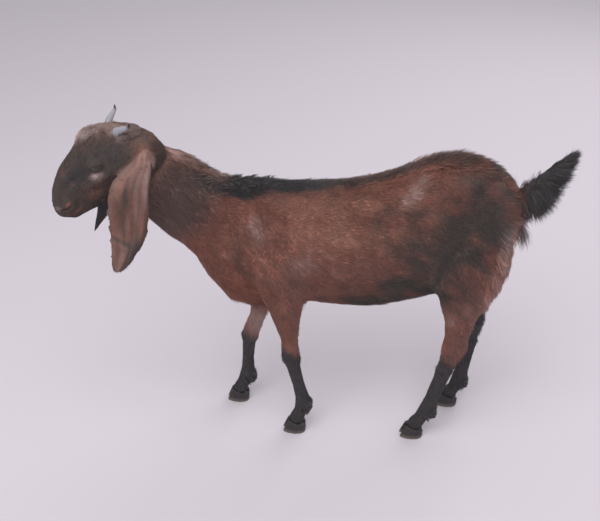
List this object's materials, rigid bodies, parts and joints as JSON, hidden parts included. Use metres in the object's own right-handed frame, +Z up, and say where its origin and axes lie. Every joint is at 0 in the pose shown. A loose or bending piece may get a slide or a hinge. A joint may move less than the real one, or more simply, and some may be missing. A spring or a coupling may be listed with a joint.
{
  "type": "goat",
  "caption": "Young lop-eared goat standing on four feet, head turned slightly to its left, short horns, convex nose, tail raised.",
  "frame": {"origin": "on the floor, under the middle of the whole goat's box", "axes": "+X towards the head, +Y to the goat's left, +Z up"},
  "size_m": [0.829, 0.185, 0.6449],
  "materials": {
    "coat": "short chestnut coat",
    "dark_coat": "short dark brown coat",
    "black_coat": "short black coat",
    "ear_coat": "fine short brown hair over thin skin",
    "horn": "grey ringed horn",
    "hoof": "dark worn hoof horn",
    "eye": "wet dark eye"
  },
  "bodies": {
    "root": {"trunk": "coat", "neck": "dark_coat", "head": "dark_coat", "left_ear": "ear_coat", "right_ear": "ear_coat", "left_eye": "eye", "right_eye": "eye", "left_horn": "horn", "right_horn": "horn", "tail": "black_coat", "left_fore_upper": "coat", "right_fore_upper": "coat", "left_hind_thigh": "coat", "right_hind_thigh": "coat", "left_fore_shin": "black_coat", "right_fore_shin": "black_coat", "left_hind_shank": "black_coat", "right_hind_shank": "black_coat", "left_fore_left_claw": "hoof", "left_fore_right_claw": "hoof", "right_fore_left_claw": "hoof", "right_fore_right_claw": "hoof", "left_hind_left_claw": "hoof", "left_hind_right_claw": "hoof", "right_hind_left_claw": "hoof", "right_hind_right_claw": "hoof", "left_fore_left_dewclaw": "hoof", "left_fore_right_dewclaw": "hoof", "right_fore_left_dewclaw": "hoof", "right_fore_right_dewclaw": "hoof", "left_hind_left_dewclaw": "hoof", "left_hind_right_dewclaw": "hoof", "right_hind_left_dewclaw": "hoof", "right_hind_right_dewclaw": "hoof"}
  },
  "joints": []
}
